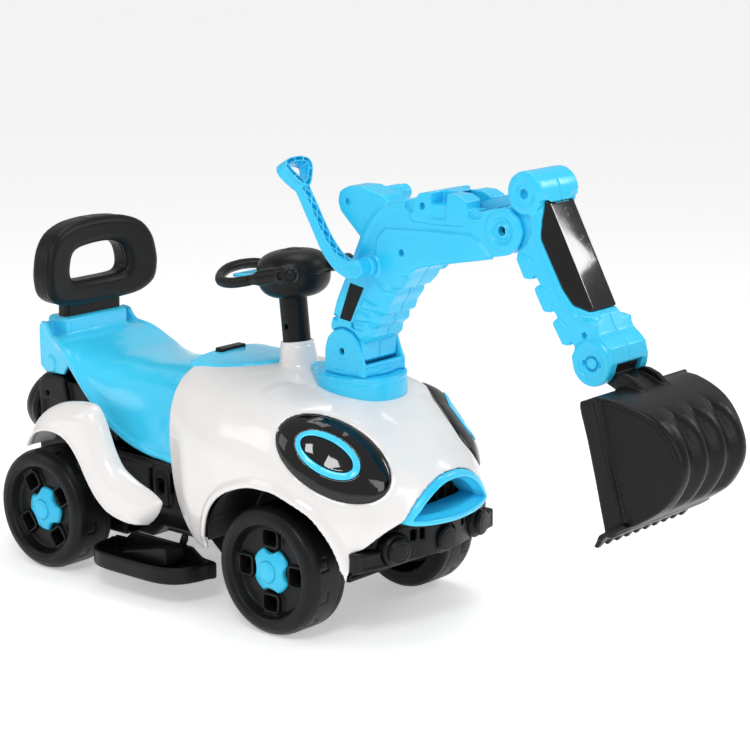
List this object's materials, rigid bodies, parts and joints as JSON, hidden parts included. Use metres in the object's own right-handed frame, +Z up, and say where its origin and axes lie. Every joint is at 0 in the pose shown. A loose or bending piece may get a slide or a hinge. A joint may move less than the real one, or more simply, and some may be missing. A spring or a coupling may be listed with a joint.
{
  "type": "ride-on digger",
  "caption": "Toddler ride-on vehicle with a swinging toy excavator arm: friction boom, lever-driven stick, scooping bucket, steered front wheels, seat with backrest.",
  "frame": {"origin": "on the ground, on the centreline, midway between the two axles", "axes": "+X forward towards the bucket, +Y to the rider's left, +Z up"},
  "size_m": [1.008, 0.314, 0.538],
  "materials": {
    "white_plastic": "gloss moulded",
    "blue_plastic": "semi-gloss moulded",
    "black_plastic": "satin moulded",
    "black_gloss": "high gloss",
    "wheel_black": "satin moulded, blow-moulded wheel",
    "steel": "zinc plated"
  },
  "bodies": {
    "body": {"chassis_tray": "black_plastic", "front_body_shell": "white_plastic", "rear_fender_right": "white_plastic", "rear_fender_left": "white_plastic", "seat": "blue_plastic", "tail_drum": "black_plastic", "backrest": "black_plastic", "dash_panel": "blue_plastic", "grille_ring": "blue_plastic", "bumper": "black_plastic", "bumper_lamps": "black_plastic", "headlight_right": "black_gloss", "headlight_left": "black_gloss", "headlight_ring_right": "blue_plastic", "headlight_ring_left": "blue_plastic", "footrest_right": "black_plastic", "footrest_left": "black_plastic", "column_collar": "white_plastic", "turret_base": "blue_plastic", "battery_pack": "black_plastic", "drive_gearbox": "black_plastic", "rear_axle": "steel", "rear_axle_nuts": "steel", "charge_socket": "black_plastic", "body_screws": "steel"},
    "pedal": {"accelerator_pedal": "black_plastic"},
    "switch": {"drive_switch": "black_plastic"},
    "steering": {"steering_column": "black_plastic", "steering_wheel": "black_plastic", "steering_plate": "blue_plastic"},
    "horn": {"horn_button": "black_plastic"},
    "knuckle_right": {"knuckle_right": "black_plastic", "front_nut_right": "steel"},
    "knuckle_left": {"knuckle_left": "black_plastic", "front_nut_left": "steel"},
    "tie_rod": {"tie_rod": "black_plastic"},
    "wheel_front_right": {"wheel_front_right": "wheel_black", "hub_cap_front_right": "blue_plastic"},
    "wheel_front_left": {"wheel_front_left": "wheel_black", "hub_cap_front_left": "blue_plastic"},
    "wheel_rear_right": {"wheel_rear_right": "wheel_black", "hub_cap_rear_right": "blue_plastic"},
    "wheel_rear_left": {"wheel_rear_left": "wheel_black", "hub_cap_rear_left": "blue_plastic"},
    "swing": {"swing_bracket": "blue_plastic"},
    "boom": {"boom_shell_right": "blue_plastic", "boom_shell_left": "blue_plastic", "rear_grip": "blue_plastic", "boom_label": "black_gloss", "boom_pins": "steel", "boom_screws": "steel"},
    "lever": {"dig_lever": "blue_plastic", "lever_crank": "black_plastic"},
    "link": {"link_rod": "blue_plastic"},
    "stick": {"stick_shell_right": "blue_plastic", "stick_shell_left": "blue_plastic", "stick_cover": "black_gloss", "stick_pins": "steel"},
    "bucket": {"bucket": "black_plastic"}
  },
  "joints": [
    {"name": "swing", "type": "hinge", "parent": "body", "child": "swing", "pos_m": [0.212, 0, 0.288], "axis": [0, 0, 1], "range_deg": [-45, 45]},
    {"name": "boom", "type": "hinge", "parent": "swing", "child": "boom", "pos_m": [0.214, 0, 0.315], "axis": [0, 1, 0], "range_deg": [-5, 20]},
    {"name": "stick", "type": "hinge", "parent": "boom", "child": "stick", "pos_m": [0.438, 0, 0.476], "axis": [0, 1, 0], "range_deg": [-20, 25]},
    {"name": "lever", "type": "hinge", "parent": "boom", "child": "lever", "pos_m": [0.257, 0, 0.418], "axis": [0, 1, 0], "range_deg": [-20, 25]},
    {"name": "link", "type": "hinge", "parent": "lever", "child": "link", "pos_m": [0.286, 0, 0.46], "axis": [0, 1, 0], "range_deg": [-25, 20]},
    {"name": "bucket", "type": "hinge", "parent": "stick", "child": "bucket", "pos_m": [0.557, 0, 0.35], "axis": [0, -1, 0], "range_deg": [-25, 25]},
    {"name": "steering", "type": "hinge", "parent": "body", "child": "steering", "pos_m": [0.1114, 0, 0.3078], "axis": [-0.1107, 0, 0.9939], "range_deg": [-25, 25]},
    {"name": "knuckle_right", "type": "hinge", "parent": "body", "child": "knuckle_right", "pos_m": [0.1917, -0.072, 0.075], "axis": [0, 0, 1], "range_deg": [-25, 25]},
    {"name": "knuckle_left", "type": "hinge", "parent": "body", "child": "knuckle_left", "pos_m": [0.1917, 0.072, 0.075], "axis": [0, 0, 1], "range_deg": [-25, 25]},
    {"name": "tie_rod", "type": "hinge", "parent": "knuckle_left", "child": "tie_rod", "pos_m": [0.1417, 0.072, 0.067], "axis": [0, 0, 1], "range_deg": [-25, 25]},
    {"name": "wheel_front_right", "type": "hinge", "parent": "knuckle_right", "child": "wheel_front_right", "pos_m": [0.1917, -0.116, 0.075], "axis": [0, 1, 0], "continuous": true},
    {"name": "wheel_front_left", "type": "hinge", "parent": "knuckle_left", "child": "wheel_front_left", "pos_m": [0.1917, 0.116, 0.075], "axis": [0, 1, 0], "continuous": true},
    {"name": "wheel_rear_right", "type": "hinge", "parent": "body", "child": "wheel_rear_right", "pos_m": [-0.1917, -0.116, 0.075], "axis": [0, 1, 0], "continuous": true},
    {"name": "wheel_rear_left", "type": "hinge", "parent": "body", "child": "wheel_rear_left", "pos_m": [-0.1917, 0.116, 0.075], "axis": [0, 1, 0], "continuous": true},
    {"name": "pedal", "type": "hinge", "parent": "body", "child": "pedal", "pos_m": [-0.04, -0.126, 0.044], "axis": [0, 1, 0], "range_deg": [0, 7], "stiffness_Nm_per_rad": 0.5},
    {"name": "drive_switch", "type": "hinge", "parent": "body", "child": "switch", "pos_m": [0.002, 0, 0.281], "axis": [0, 1, 0], "range_deg": [-8, 8]},
    {"name": "horn_button", "type": "slide", "parent": "steering", "child": "horn", "axis": [0.1107, 0, -0.9939], "range_m": [0, 0.002], "stiffness_N_per_m": 300}
  ],
  "couplings": [
    {"joint": "lever", "follows": "stick", "ratio": 1},
    {"joint": "link", "follows": "stick", "ratio": -1},
    {"joint": "knuckle_right", "follows": "steering", "ratio": 1},
    {"joint": "knuckle_left", "follows": "steering", "ratio": 1},
    {"joint": "tie_rod", "follows": "steering", "ratio": -1}
  ]
}
